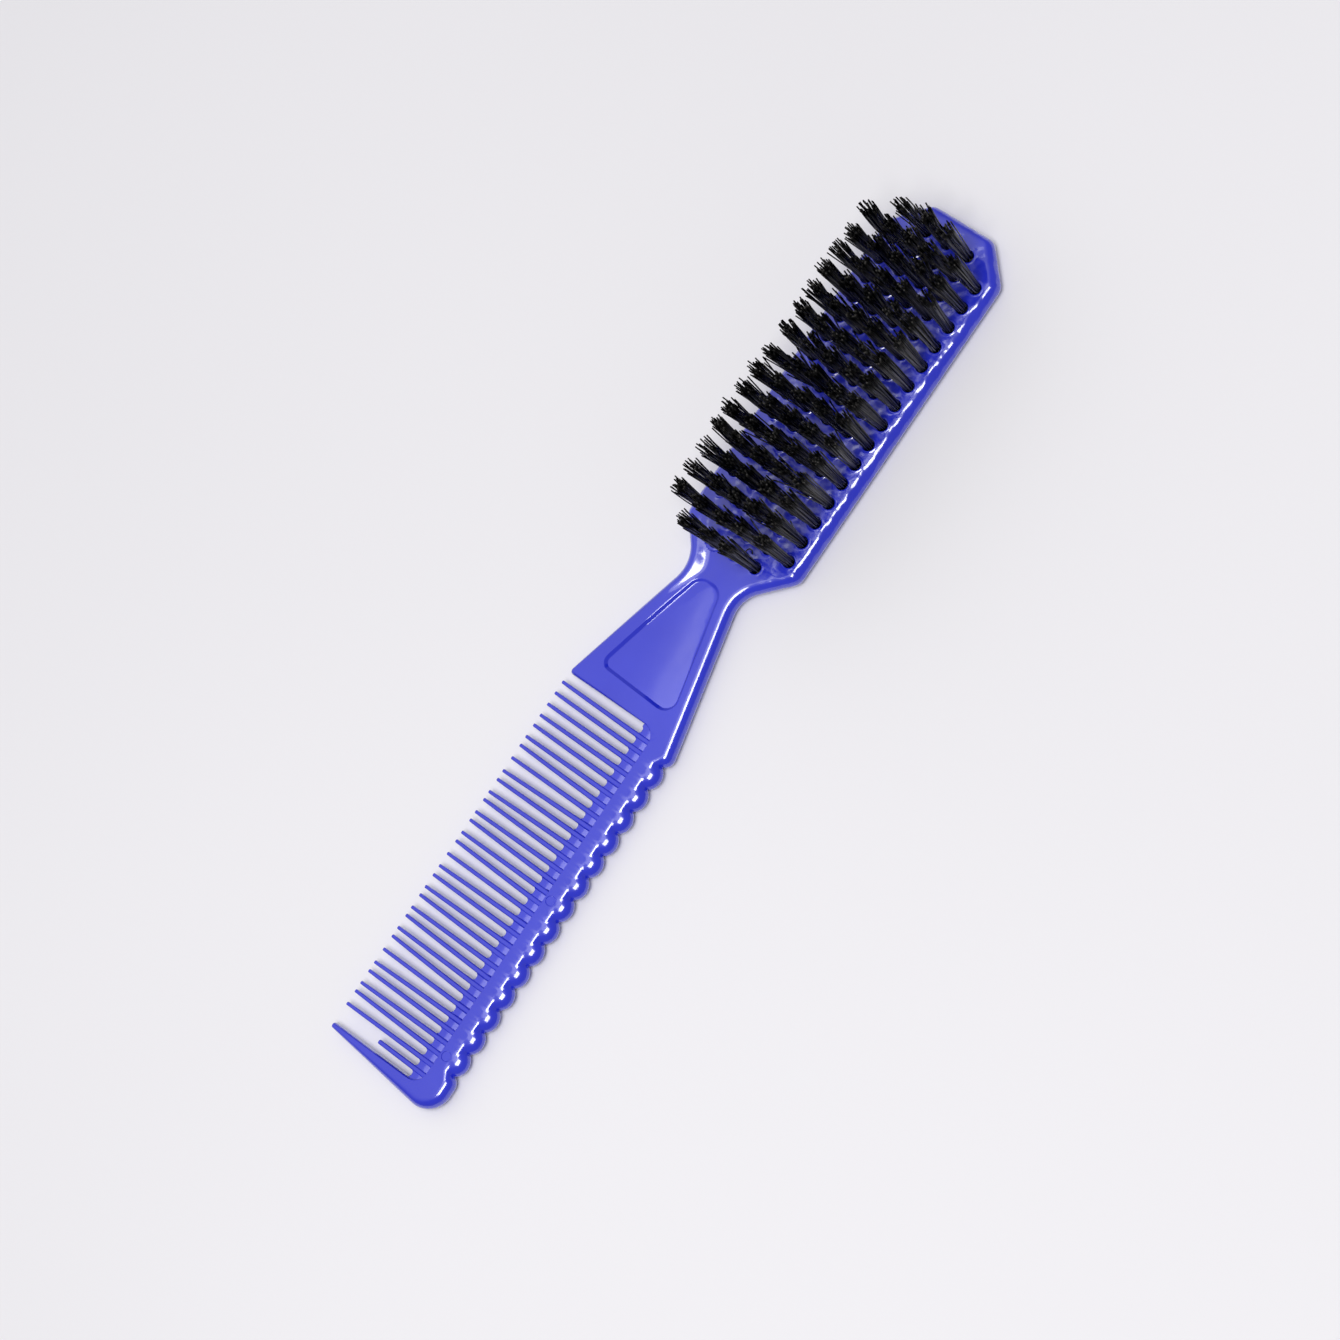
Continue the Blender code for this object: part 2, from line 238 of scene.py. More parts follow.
# The bristles. A SCATTER is the spread of a random amount.
BRISTLES_IN_TUFT = 40
BRISTLE_RADIUS = 0.16
BRISTLE_SIDES = 6
BRISTLE_STATIONS = 8
BRISTLE_LENGTH = 21.0
LENGTH_SCATTER = 0.6
FOLD_HEIGHT = 0.75
TUFT_ROOT_RADIUS = 1.12
TUFT_TIP_RADIUS = 2.1
TUFT_LEAN = 0.35
MIDDLE_FLARE = 0.6
FLARE_DEPTH = 0.4
FLARE_POWER = 1.25
PLACE_SCATTER = 0.03
TIP_SCATTER = 0.2
BOW_SCATTER = 0.12
STRAY_CHANCE = 0.08
STRAY_SCATTER = 0.9
STRAY_SHORTER = 0.6
CLUMPS_IN_TUFT = 6
CLUMP_PULL = 0.3

# The one bristle that is looped over
LOOPED_TUFT = "bristles_row_17_right"
LOOP_LEAN = 0.9
LOOP_START = 7.5
LOOP_RADIUS = 0.85
LOOP_HEIGHT = 1.9
LOOP_TURN = math.radians(250)
# LOOP_TONE is the looped bristle's tone, which also sets how much painted sheen it carries.
LOOP_TONE = 0.7
STEM_STATIONS = 5
LOOP_STATIONS = 14

# The anchors: width, thickness and height
ANCHOR_SIZE = (2.5, 0.4, 1.3)
ANCHOR_LIFT = 0.05
ANCHOR_EDGE = 0.08

body_low, body_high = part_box("body")
DESIGN_TO_FRAME = Vector((body_low.x - TOOTH_TIP * MM, body_high.y - HEAD_TOP * MM, body_low.z))


def placed(x, y, z):
    """A point of the layout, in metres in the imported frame. The head leans a little off the comb's line."""
    leant = x + HEAD_LEAN * max(0.0, y - LEAN_START)
    return Vector((leant, y, z)) * MM + DESIGN_TO_FRAME


# ---------------------------------------------------------------- outline of the moulding


def arc(centre, radius, start, turn, roll):
    """Points with headings along an arc. start is the first heading, and a turn to the left is positive."""
    side = math.copysign(1, turn)
    steps = max(2, math.ceil(abs(turn) / ARC_STEP))
    points = []
    for i in range(steps + 1):
        heading = start + turn * i / steps
        x = centre[0] + side * radius * math.sin(heading)
        y = centre[1] - side * radius * math.cos(heading)
        points.append((x, y, heading, roll))
    return points


def heading_of(start, end):
    """The direction from one point to another, as an angle from +X."""
    return math.atan2(end[1] - start[1], end[0] - start[0])


def wrapped(angle):
    """The same direction as an angle between minus and plus half a turn."""
    return (angle + math.pi) % (2 * math.pi) - math.pi


def fillet_centre(before, corner, after, radius):
    """Centre of the arc of this radius that rounds a corner of the outline."""
    start = heading_of(before, corner)
    turn = wrapped(heading_of(corner, after) - start)
    side = math.copysign(1, turn)
    reach = radius * math.tan(abs(turn) / 2)
    x = corner[0] - reach * math.cos(start) - side * radius * math.sin(start)
    y = corner[1] - reach * math.sin(start) + side * radius * math.cos(start)
    return x, y


def filleted(before, corner, after, radius, roll):
    """The arc of this radius that rounds a corner of the outline."""
    start = heading_of(before, corner)
    turn = wrapped(heading_of(corner, after) - start)
    return arc(fillet_centre(before, corner, after, radius), radius, start, turn, roll)


def rounded(corners):
    """The arcs that round all but the first and last of these corners, each (x, y, radius, roll)."""
    points = []
    for before, corner, after in zip(corners, corners[1:], corners[2:]):
        points += filleted(before, corner, after, corner[2], corner[3])
    return points


NECK_ARC = fillet_centre(
    (-HEAD_HALF_WIDTH, HEAD_BOTTOM), NECK_LEFT, (TOOTH_TIP, PADDLE_BOTTOM), NECK_LEFT_FILLET
)


def bead_edge():
    """The scalloped edge of the spine, from the end of the comb up to the paddle.

    Each point faces straight out and rolls as far in as the spine's own edge, under the beads' domes.
    """
    half = math.asin(BEAD_PITCH / 2 / BEAD_RADIUS)
    points = []
    for i in range(BEAD_COUNT):
        centre = (BEAD_PEAK - BEAD_RADIUS, FIRST_VALLEY + (i + 0.5) * BEAD_PITCH)
        bead = arc(centre, BEAD_RADIUS, math.pi / 2 - half, 2 * half, EDGE_ROLL)
        points += [(x, y, math.pi / 2, x - BEAD_INNER) for x, y, _, _ in bead[min(i, 1):]]
    return points


def body_outline():
    """The edge of the thick part of the moulding, anticlockwise, as (x, y, heading, roll)."""
    chamfer_low = HEAD_TOP - HEAD_CORNER_Y
    chamfer_in = HEAD_HALF_WIDTH - HEAD_CORNER_X
    valley_low = (BEAD_VALLEY, FIRST_VALLEY)
    valley_high = (BEAD_VALLEY, LAST_VALLEY)
    lower = [
        (TOOTH_TIP, GUARD_HIGH, GUARD_FILLET, GUARD_ROLL),
        (TOOTH_TIP, GUARD_LOW, GUARD_FILLET, GUARD_ROLL),
        (*END_CORNER, END_FILLET, EDGE_ROLL),
        (BEAD_PEAK, END_BEAD_CORNER, END_BEAD_FILLET, EDGE_ROLL),
    ]
    upper = [
        (*PADDLE_RIGHT, PADDLE_RIGHT_FILLET, EDGE_ROLL),
        (*NECK_RIGHT, NECK_RIGHT_FILLET, EDGE_ROLL),
        (HEAD_HALF_WIDTH, HEAD_BOTTOM, HEAD_FILLET, EDGE_ROLL),
        (HEAD_HALF_WIDTH, chamfer_low, HEAD_FILLET, EDGE_ROLL),
        (chamfer_in, HEAD_TOP, HEAD_FILLET, EDGE_ROLL),
        (-chamfer_in, HEAD_TOP, HEAD_FILLET, EDGE_ROLL),
        (-HEAD_HALF_WIDTH, chamfer_low, HEAD_FILLET, EDGE_ROLL),
        (-HEAD_HALF_WIDTH, HEAD_BOTTOM, HEAD_FILLET, EDGE_ROLL),
        (*NECK_LEFT, NECK_LEFT_FILLET, EDGE_ROLL),
        (TOOTH_TIP, PADDLE_BOTTOM, PADDLE_LEFT_FILLET, THIN_ROLL),
        (SPINE_STEP, PADDLE_BOTTOM, STEP_FILLET, STEP_ROLL),
        (SPINE_STEP, GUARD_ROOT_TOP, STEP_FILLET, STEP_ROLL),
    ]
    below = [upper[-1], *lower, valley_low]
    above = [valley_high, *upper, lower[0]]
    return with_fans_and_steps(rounded(below) + bead_edge() + rounded(above))


def with_fans_and_steps(points):
    """Adds the headings between wherever the outline turns sharply, and more points on long edges."""
    result = []
    for index, (x, y, heading, roll) in enumerate(points):
        result.append((x, y, heading, roll))
        next_x, next_y, next_heading, next_roll = points[(index + 1) % len(points)]
        length = math.hypot(next_x - x, next_y - y)
        turn = wrapped(next_heading - heading)
        sharp = length < SAME_POINT
        steps = math.ceil(abs(turn) / FAN_STEP) if sharp else math.ceil(length / LONGEST_EDGE)
        for i in range(1, steps):
            t = i / steps
            px = x + (next_x - x) * t
            py = y + (next_y - y) * t
            result.append((px, py, heading + turn * t, roll + (next_roll - roll) * t))
    return result


# ---------------------------------------------------------------- height of the moulding's faces


def eased(share):
    """A ramp from 0 to 1 that starts softly and then climbs evenly."""
    share = min(1.0, max(0.0, share))
    return share * share * (1 + SLOPE_EASE) / (share + SLOPE_EASE)


def half_thickness(x, y):
    """Half the moulding's thickness: less towards the paddle's comb side and along the guard tooth."""
    if y < GUARD_TOP_LIMIT and x < SLOT_ROOT:
        share = (SLOT_ROOT - x) / (SLOT_ROOT - TOOTH_TIP)
        return MIDDLE + eased(share) * (GUARD_TIP_THICKNESS / 2 - MIDDLE)
    across = (PADDLE_SLOPE_START - x) / (PADDLE_SLOPE_START - PADDLE_SLOPE_END[0])
    down = (PADDLE_SLOPE_TOP - y) / (PADDLE_SLOPE_TOP - PADDLE_SLOPE_END[1])
    return MIDDLE - PADDLE_EDGE_LOSS * eased(across) * eased(down)


def on_beads(x, y):
    """Whether a point of the outline is on the scalloped edge."""
    past_valley = x > BEAD_VALLEY - SAME_POINT
    return past_valley and FIRST_VALLEY - SAME_POINT < y < LAST_VALLEY + SAME_POINT


def bead_height(x, y):
    """Half the thickness on the scalloped side: the spine's rolled edge, with the beads' domes in it."""
    over_edge = min(1.0, max(0.0, (x - SPINE_EDGE) / SPINE_ROLL))
    spine = MIDDLE * math.sqrt(1 - over_edge**2)
    index = min(BEAD_COUNT - 1, max(0, int((y - FIRST_VALLEY) / BEAD_PITCH)))
    centre_y = FIRST_VALLEY + (index + 0.5) * BEAD_PITCH
    reach = math.hypot(x - BEAD_PEAK + BEAD_RADIUS, y - centre_y) / BEAD_RADIUS
    dome = MIDDLE * math.sqrt(max(0.0, 1 - reach**DOME_POWER))
    return max(spine, dome)


def edge_dent(x, y, angle):
    """How far the head's side has sunk beside each row of tufts, half way round the rolled edge."""
    if y < HEAD_BOTTOM or abs(x) < HEAD_HALF_WIDTH - EDGE_ROLL - SAME_POINT or angle < 0:
        return 0.0
    row = (y - TOP_ROW) / ROW_PITCH
    beat = 0.5 + 0.5 * math.cos(2 * math.pi * row)
    unevenness = 1 - DENT_UNEVENNESS + DENT_UNEVENNESS * math.sin(DENT_VARIATION * row)
    return DENT_DEPTH * beat * unevenness * math.sin(2 * angle)


def smooth(share):
    """A ramp from 0 to 1 that starts and ends softly."""
    share = min(1.0, max(0.0, share))
    return share * share * (3 - 2 * share)


def panel_share(crisp, soft, y):
    """How much of the panel's depth is reached on a ring here: its edges are softer near the neck."""
    low, high = PANEL_SOFTENING
    return crisp + (soft - crisp) * smooth((y - low) / (high - low))


def panel_fall(x, y):
    """How far the thumb panel's floor has fallen below its left part: it bends down towards the right."""
    past = x - PANEL_TILT_START + (y - PANEL_CORNERS[1][1]) * PANEL_TILT_SLANT
    bent = min(PANEL_TILT_REACH, max(0.0, past))
    return PANEL_TILT * (bent**2 / (2 * PANEL_TILT_REACH) + max(0.0, past - PANEL_TILT_REACH))


def panel_floor(x, y, surface):
    """Height of the thumb panel's floor, which is level with the face in one corner."""
    corner = math.hypot(x - PANEL_CORNERS[0][0], y - PANEL_CORNERS[0][1]) / PANEL_FADE
    return min(surface, THICKNESS - panel_fall(x, y)) - PANEL_DEPTH * (1 - math.exp(-(corner**2)))


def sink(x, y):
    """Depth of the shrunken hollow that follows the neck's left edge, wider towards the head."""
    inward = math.hypot(x - NECK_ARC[0], y - NECK_ARC[1]) - NECK_LEFT_FILLET
    low, high = SINK_WIDENING
    bottom = SINK_NARROW + (SINK_WIDE - SINK_NARROW) * smooth((y - low) / (high - low))
    along = math.exp(-(((y - SINK_MIDDLE) / SINK_HALF_LENGTH) ** 4))
    depth = SINK_FALL * (bottom - SINK_START) * along
    if inward > bottom:
        return depth * math.exp(-(((inward - bottom) / SINK_REACH) ** 2))
    return depth * smooth((inward - SINK_START) / (bottom - SINK_START))


def front_height(x, y, sunk):
    """Height of the front face. sunk says how much of the thumb panel's depth is reached there."""
    surface = MIDDLE + half_thickness(x, y) - sink(x, y)
    return surface + sunk * (panel_floor(x, y, surface) - surface)


# ---------------------------------------------------------------- mesh helpers


def new_object(name, mesh):
    obj = bpy.data.objects.new(name, mesh)
    bpy.context.scene.collection.objects.link(obj)
    return obj


def object_from(bm, name):
    """An object of the finished mesh, with its doubled vertices merged and its normals turned out."""
    mesh = bpy.data.meshes.new(name)
    bmesh.ops.remove_doubles(bm, verts=bm.verts, dist=MERGE_DISTANCE * MM)
    bmesh.ops.recalc_face_normals(bm, faces=bm.faces)
    bm.to_mesh(mesh)
    bm.free()
    return new_object(name, mesh)


def bridge(bm, low, high):
    """Faces between two closed rings of vertices."""
    for i, corner in enumerate(low):
        j = (i + 1) % len(low)
        bm.faces.new((corner, low[j], high[j], high[i]))


def joined(target, other):
    """Unites another closed shape with target, and removes it."""
    modifier = target.modifiers.new(other.name, "BOOLEAN")
    modifier.operation = "UNION"
    modifier.solver = "EXACT"
    modifier.object = other
    graph = bpy.context.evaluated_depsgraph_get()
    made = bpy.data.meshes.new_from_object(target.evaluated_get(graph))
    target.modifiers.clear()
    target.data = made
    bpy.data.objects.remove(other, do_unlink=True)


def smooth_with_edges(obj):
    """Smooth shading that keeps the sharp edges, with large flat faces kept flat."""
    bm = bmesh.new()
    bm.from_mesh(obj.data)
    for face in bm.faces:
        face.smooth = True
    for edge in bm.edges:
        sharp = len(edge.link_faces) == 2 and edge.calc_face_angle() > SHARP_EDGE
        edge.smooth = not sharp
    bm.to_mesh(obj.data)
    bm.free()
    modifier = obj.modifiers.new("weighted_normals", "WEIGHTED_NORMAL")
    modifier.keep_sharp = True
    modifier.weight = 50


# ---------------------------------------------------------------- the moulded body


class Plan:
    """Points and rings in plan, filled with triangles into one face of the moulding."""

    def __init__(self, bm):
        self.bm = bm
        self.flat = []
        self.verts = []
        self.edges = []
        self.openings = []

    def ring(self, vertices, plan_points):
        """Adds a closed ring of vertices, and returns the indices of its corners."""
        first = len(self.flat)
        count = len(vertices)
        self.flat += [Vector(point) for point in plan_points]
        self.verts += vertices
        indices = list(range(first, first + count))
        self.edges += [(indices[i], indices[(i + 1) % count]) for i in range(count)]
        return indices

    def loose(self, vertex, point):
        """Adds a single vertex."""
        self.flat.append(Vector(point))
        self.verts.append(vertex)

    def fill(self, outer):
        """Fills the ring with these indices with triangles, but for the openings in it."""
        filled = delaunay_2d_cdt(self.flat, self.edges, [outer], 1, PLAN_TOLERANCE)
        origins = filled[3]
        for triangle in filled[2]:
            corners = [origins[i][0] for i in triangle]
            middle = sum((self.flat[i] for i in corners), Vector((0, 0))) / 3
            if any((middle - centre).length < radius for centre, radius in self.openings):
                continue
            self.bm.faces.new([self.verts[i] for i in corners])


def circle(centre, radius, sides):
    """Corners of a regular polygon with this many sides, in plan."""
    angles = [2 * math.pi * i / sides for i in range(sides)]
    return [(centre[0] + radius * math.cos(a), centre[1] + radius * math.sin(a)) for a in angles]


def panel_outline():
    """The thumb panel's edge as (x, y, heading, roll), anticlockwise, with points on its long sides."""
    outline = []
    for i, corner in enumerate(PANEL_CORNERS):
        before = PANEL_CORNERS[i - 1]
        after = PANEL_CORNERS[(i + 1) % len(PANEL_CORNERS)]
        outline += filleted(before, corner, after, corner[2], 0)
    return with_fans_and_steps(outline)


def set_in(outline, distance):
    """The outline moved inwards by this distance."""
    return [
        (x - math.sin(heading) * distance, y + math.cos(heading) * distance)
        for x, y, heading, _ in outline
    ]


def inside(points, polygon):
    """Which of the points lie inside the polygon."""
    x, y = points[:, 0], points[:, 1]
    result = np.zeros(len(points), bool)
    corners = np.array(polygon)
    for (ax, ay), (bx, by) in zip(corners, np.roll(corners, -1, axis=0)):
        crosses = (ay > y) != (by > y)
        with np.errstate(divide="ignore", invalid="ignore"):
            at = ax + (y - ay) * (bx - ax) / (by - ay)
        result ^= crosses & (x < at)
    return result


def clear_of(points, others, distance):
    """The points that are at least this far from all the others."""
    gaps = np.linalg.norm(points[:, None, :] - np.array(others)[None, :, :], axis=2)
    return points[gaps.min(axis=1) > distance]


def spread_points(rim, low, high, step):
    """Points of a staggered grid within the rim and between two corners, clear of the rim."""
    points = []
    row = 0
    y = low[1]
    while y < high[1]:
        x = low[0] + (step / 2 if row % 2 else 0.0)
        while x < high[0]:
            points.append((x, y))
            x += step
        y += step * math.sqrt(3) / 2
        row += 1
    points = np.array(points)
    return clear_of(points[inside(points, rim)], rim, step * GRID_CLEARANCE)


def grid_points(rim):
    """Evenly spread points over the paddle, closer together on the neck, and over the guard tooth."""
    paddle = spread_points(rim, *PADDLE_AREA, GRID_STEP)
    neck = spread_points(rim, *NECK_AREA, FINE_STEP)
    guard = spread_points(rim, *GUARD_AREA, GRID_STEP / 2)
    return np.concatenate((clear_of(paddle, neck, FINE_STEP), neck, guard))


def rolled_rings(bm, outline):
    """The moulding's rounded edge, from the back's rim to the front's. Returns the first and last ring."""
    rings = []
    plans = []
    for step in range(-ROLL_STEPS, ROLL_STEPS + 1):
        angle = math.pi / 2 * step / ROLL_STEPS
        ring = []
        plan = []
        for x, y, heading, roll in outline:
            inwards = roll * (1 - math.cos(angle))
            px = x - math.sin(heading) * inwards
            py = y + math.cos(heading) * inwards
            if on_beads(x, y):
                z = MIDDLE + math.copysign(bead_height(px, py), angle)
            else:
                z = MIDDLE + half_thickness(px, py) * math.sin(angle)
                z -= sink(px, py) * max(0.0, math.sin(angle)) ** 4 + edge_dent(px, py, angle)
            ring.append(bm.verts.new(placed(px, py, z)))
            plan.append((px, py))
        rings.append(ring)
        plans.append(plan)
    for low, high in zip(rings, rings[1:]):
        bridge(bm, low, high)
    return rings[0], plans[0], rings[-1], plans[-1]


def add_ring(bm, plan, points, heights):
    """Adds a closed ring of vertices to the plan, at these points and heights."""
    vertices = [bm.verts.new(placed(x, y, z)) for (x, y), z in zip(points, heights)]
    plan.ring(vertices, points)


def tuft_places():
    """Each tuft's row, column and middle in the layout, read from the CAD's middle tuft of its row."""
    places = []
    for row in range(1, ROW_COUNT + 1):
        low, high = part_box(f"tufts_row_{row:02d}_middle")
        middle = (low + high) / 2 - DESIGN_TO_FRAME
        y = middle.y / MM
        x = middle.x / MM - HEAD_LEAN * max(0.0, y - LEAN_START)
        reach = 1 if row in (1, ROW_COUNT) else 2
        for column in range(-reach, reach + 1):
            places.append((row, column, x + column * COLUMN_PITCH, y))
    return places


def add_hole(bm, plan, rng, x, y):
    """A blind tuft hole in the front. Drilling and stapling have raised an uneven burr around it.

    levels are (radius, rise above the face), from the burr's foot over its top to the hole's bottom.
    """
    foot = HOLE_RADIUS + HOLE_LIP + BURR_REACH
    levels = (
        (foot, 0.0),
        (foot - BURR_REACH * 0.25, BURR_HEIGHT * 0.25),
        (foot - BURR_REACH * 0.55, BURR_HEIGHT * 0.85),
        (foot - BURR_REACH * 0.8, BURR_HEIGHT),
        (HOLE_RADIUS + HOLE_LIP * 0.6, BURR_HEIGHT * 0.7),
        (HOLE_RADIUS + HOLE_LIP * 0.15, -HOLE_LIP * 0.2),
        (HOLE_RADIUS, -HOLE_LIP),
        (HOLE_RADIUS, -HOLE_DEPTH),
    )
    phases = [rng.uniform(0, 2 * math.pi) for _ in range(3)]
    lifts = []
    for i in range(HOLE_SIDES):
        angle = 2 * math.pi * i / HOLE_SIDES
        waves = [math.sin((k + 1) * angle + phase) / (k + 1) for k, phase in enumerate(phases)]
        lifts.append(max(BURR_LOWEST, BURR_MEAN + BURR_WAVES * sum(waves)))
    rings = []
    for radius, rise in levels:
        ring = []
        for (px, py), lift in zip(circle((x, y), radius, HOLE_SIDES), lifts):
            z = THICKNESS + (rise * lift if rise > 0 else rise)
            ring.append(bm.verts.new(placed(px, py, z)))
        rings.append(ring)
    plan.ring(rings[0], circle((x, y), foot, HOLE_SIDES))
    plan.openings.append((Vector((x, y)), foot - HOLE_SLACK))
    for high, low in zip(rings, rings[1:]):
        bridge(bm, high, low)
    bm.faces.new(rings[-1])


def fill_back(bm, ring, plan_points):
    """The flat back, within the last ring of the rolled edge."""
    back = Plan(bm)
    rim = back.ring(ring, plan_points)
    for x, y in grid_points(plan_points):
        back.loose(bm.verts.new(placed(x, y, MIDDLE - half_thickness(x, y))), (x, y))
    back.fill(rim)


def add_panel(bm, front, rim_points):
    """The thumb panel's sloping edge, and the points spread over its floor and over the face around it."""
    panel = panel_outline()
    for distance, crisp, soft in PANEL_RINGS:
        points = set_in(panel, distance)
        heights = [front_height(x, y, panel_share(crisp, soft, y)) for x, y in points]
        add_ring(bm, front, points, heights)
    spread = grid_points(rim_points)
    on_floor = inside(spread, set_in(panel, PANEL_RINGS[-1][0] + PANEL_MARGIN))
    around = ~inside(spread, set_in(panel, PANEL_RINGS[0][0] - PANEL_MARGIN))
    for (x, y), floor in zip(spread[on_floor | around], on_floor[on_floor | around]):
        z = front_height(x, y, 1.0 if floor else 0.0)
        front.loose(bm.verts.new(placed(x, y, z)), (x, y))


def add_marks(bm, front):
    """The round ejector marks, each a shallow dish with a sloping lip."""
    for centre in MARKS:
        for radius, drop in ((MARK_RADIUS + MARK_LIP, 0), (MARK_RADIUS, MARK_DEPTH)):
            add_ring(bm, front, circle(centre, radius, MARK_SIDES), [THICKNESS - drop] * MARK_SIDES)


def fill_front(bm, ring, plan_points):
    """The front, with the thumb panel, the ejector marks and the tufts' holes."""
    front = Plan(bm)
    rim = front.ring(ring, plan_points)
    add_panel(bm, front, plan_points)
    add_marks(bm, front)
    rng = random.Random(BURR_SEED)
    for _, _, x, y in tuft_places():
        add_hole(bm, front, rng, x, y)
    front.fill(rim)


def moulded_plate():
    """The whole moulding but for its comb's web and teeth."""
    bm = bmesh.new()
    back_ring, back_plan, front_ring, front_plan = rolled_rings(bm, body_outline())
    fill_back(bm, back_ring, back_plan)
    fill_front(bm, front_ring, front_plan)
    return object_from(bm, "moulded_body")


def web_profile():
    """Half of the web's section as (x, z above the middle), from its free edge to the spine."""
    half = WEB_THICKNESS / 2
    end = WEB_WALL - WEB_FILLET
    points = [(SLOT_ROOT, 0.0), (SLOT_ROOT, half - WEB_EDGE)]
    for i in range(1, WEB_EDGE_STEPS):
        angle = math.pi / 2 * i / WEB_EDGE_STEPS
        x = SLOT_ROOT + WEB_EDGE * (1 - math.cos(angle))
        points.append((x, half - WEB_EDGE * (1 - math.sin(angle))))
    points.append((SLOT_ROOT + WEB_EDGE, half))
    for i in range(WEB_FALL_STEPS + 1):
        share = i / WEB_FALL_STEPS
        points.append((WEB_FALL_START + (end - WEB_FALL_START) * share, half - WEB_FALL * share**2))
    for i in range(1, WEB_FILLET_STEPS + 1):
        angle = math.pi / 2 * i / WEB_FILLET_STEPS
        x = end + WEB_FILLET * math.sin(angle)
        points.append((x, half - WEB_FALL + WEB_FILLET * (1 - math.cos(angle))))
    points.append((WEB_WALL + WEB_OVERLAP, half - WEB_FALL + WEB_FILLET))
    return points


def slot_corner(y):
    """How far the web's free edge comes forward here, to round the corners of each slot's end."""
    across = abs((TOP_TOOTH - y) / TOOTH_PITCH % 1 - 0.5) * TOOTH_PITCH
    clear = TOOTH_PITCH / 2 - TOOTH_HALF_WIDTH
    into_corner = min(SLOT_FILLET, max(0.0, across - clear + SLOT_FILLET))
    return SLOT_FILLET - math.sqrt(SLOT_FILLET**2 - into_corner**2)


def comb_web():
    """The thin strip that the teeth grow from. It falls a little towards the spine, into a small fillet."""
    upper = web_profile()
    section = [(x, MIDDLE + z) for x, z in upper]
    section += [(x, MIDDLE - z) for x, z in reversed(upper[1:])]
    low = GUARD_ROOT_TOP - WEB_OVERLAP
    high = PADDLE_BOTTOM + WEB_OVERLAP
    count = math.ceil((high - low) / WEB_STEP)
    bm = bmesh.new()
    rings = []
    for i in range(count + 1):
        y = low + (high - low) * i / count
        forward = slot_corner(y)
        ring = []
        for x, z in section:
            kept = min(1.0, (x - SLOT_ROOT) / (WEB_FALL_START - SLOT_ROOT))
            ring.append(bm.verts.new(placed(x - forward * (1 - kept), y, z)))
        rings.append(ring)
    for near, far in zip(rings, rings[1:]):
        bridge(bm, near, far)
    bm.faces.new(list(reversed(rings[0])))
    bm.faces.new(rings[-1])
    return object_from(bm, "comb_web")


def tooth_section():
    """Corners of a tooth's rounded section, as shares of its half width and half height."""
    power = 2 / TOOTH_SQUARENESS
    corners = []
    for i in range(TOOTH_SIDES):
        angle = 2 * math.pi * (i + 0.5) / TOOTH_SIDES
        side, up = math.cos(angle), math.sin(angle)
        corners.append((math.copysign(abs(side) ** power, side), math.copysign(abs(up) ** power, up)))
    return corners


def add_tooth(bm, y, tip, drift):
    """One tapering comb tooth with a round tip, along -X from inside the spine.

    stations are (x, rounding, flatness): the share of the section that the round tip leaves there, and how
    far the section's height keeps to the tip's own size.
    """
    root = SPINE_STEP + TOOTH_OVERLAP
    full = root - TOOTH_TIP
    tip_size = 1 - (root - tip) / full * (1 - TOOTH_TIP_SHARE)
    radius = TOOTH_HALF_WIDTH * tip_size
    straight = tip + radius - root
    stations = [(root + straight * i / TOOTH_STEPS, 1.0, 0.0) for i in range(TOOTH_STEPS + 1)]
    for angle in TIP_ANGLES:
        stations.append((tip + radius * (1 - math.sin(angle)), math.cos(angle), TIP_FLATNESS))
    rings = []
    for x, rounding, flatness in stations:
        taper = 1 - (root - max(x, tip + radius)) / full * (1 - TOOTH_TIP_SHARE)
        width = TOOTH_HALF_WIDTH * taper * rounding
        height = TOOTH_HALF_HEIGHT * (taper * (1 - flatness) + tip_size * flatness) * rounding
        bent = y + drift * ((root - x) / (root - tip)) ** DRIFT_POWER
        ring = []
        for side, up in tooth_section():
            ring.append(bm.verts.new(placed(x, bent + side * width, MIDDLE + up * height)))
        rings.append(ring)
    for low, high in zip(rings, rings[1:]):
        bridge(bm, low, high)
    bm.faces.new(rings[0])
    bm.faces.new(rings[-1])


def comb_teeth():
    """All the comb's thin teeth, the last one cut short beside the guard tooth."""
    bm = bmesh.new()
    for i, drift in enumerate(TIP_DRIFT):
        add_tooth(bm, TOP_TOOTH - i * TOOTH_PITCH, TOOTH_TIP, drift)
    add_tooth(bm, TOP_TOOTH - len(TIP_DRIFT) * TOOTH_PITCH, SHORT_TOOTH_TIP, 0.0)
    return object_from(bm, "comb_teeth")


def moulded_body(material):
    """The one-piece moulding: plate, comb web and teeth in one skin."""
    body = moulded_plate()
    joined(body, comb_web())
    joined(body, comb_teeth())
    smooth_with_edges(body)
    body.data.materials.clear()
    body.data.materials.append(material)
    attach(body, "root")
    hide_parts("body")


# ---------------------------------------------------------------- tufts and anchors


def bristle_places(rng):
    """Where the bristles of one tuft stand in its hole, in a disc of radius 1, closely packed."""
    golden = math.pi * (3 - math.sqrt(5))
    turn = rng.uniform(0, 2 * math.pi)
    places = []
    for i in range(BRISTLES_IN_TUFT):
        reach = math.sqrt((i + 0.5) / BRISTLES_IN_TUFT)
        angle = turn + i * golden
        x = reach * math.cos(angle) + rng.gauss(0, PLACE_SCATTER)
        y = reach * math.sin(angle) + rng.gauss(0, PLACE_SCATTER)
        places.append((x, y))
    return places


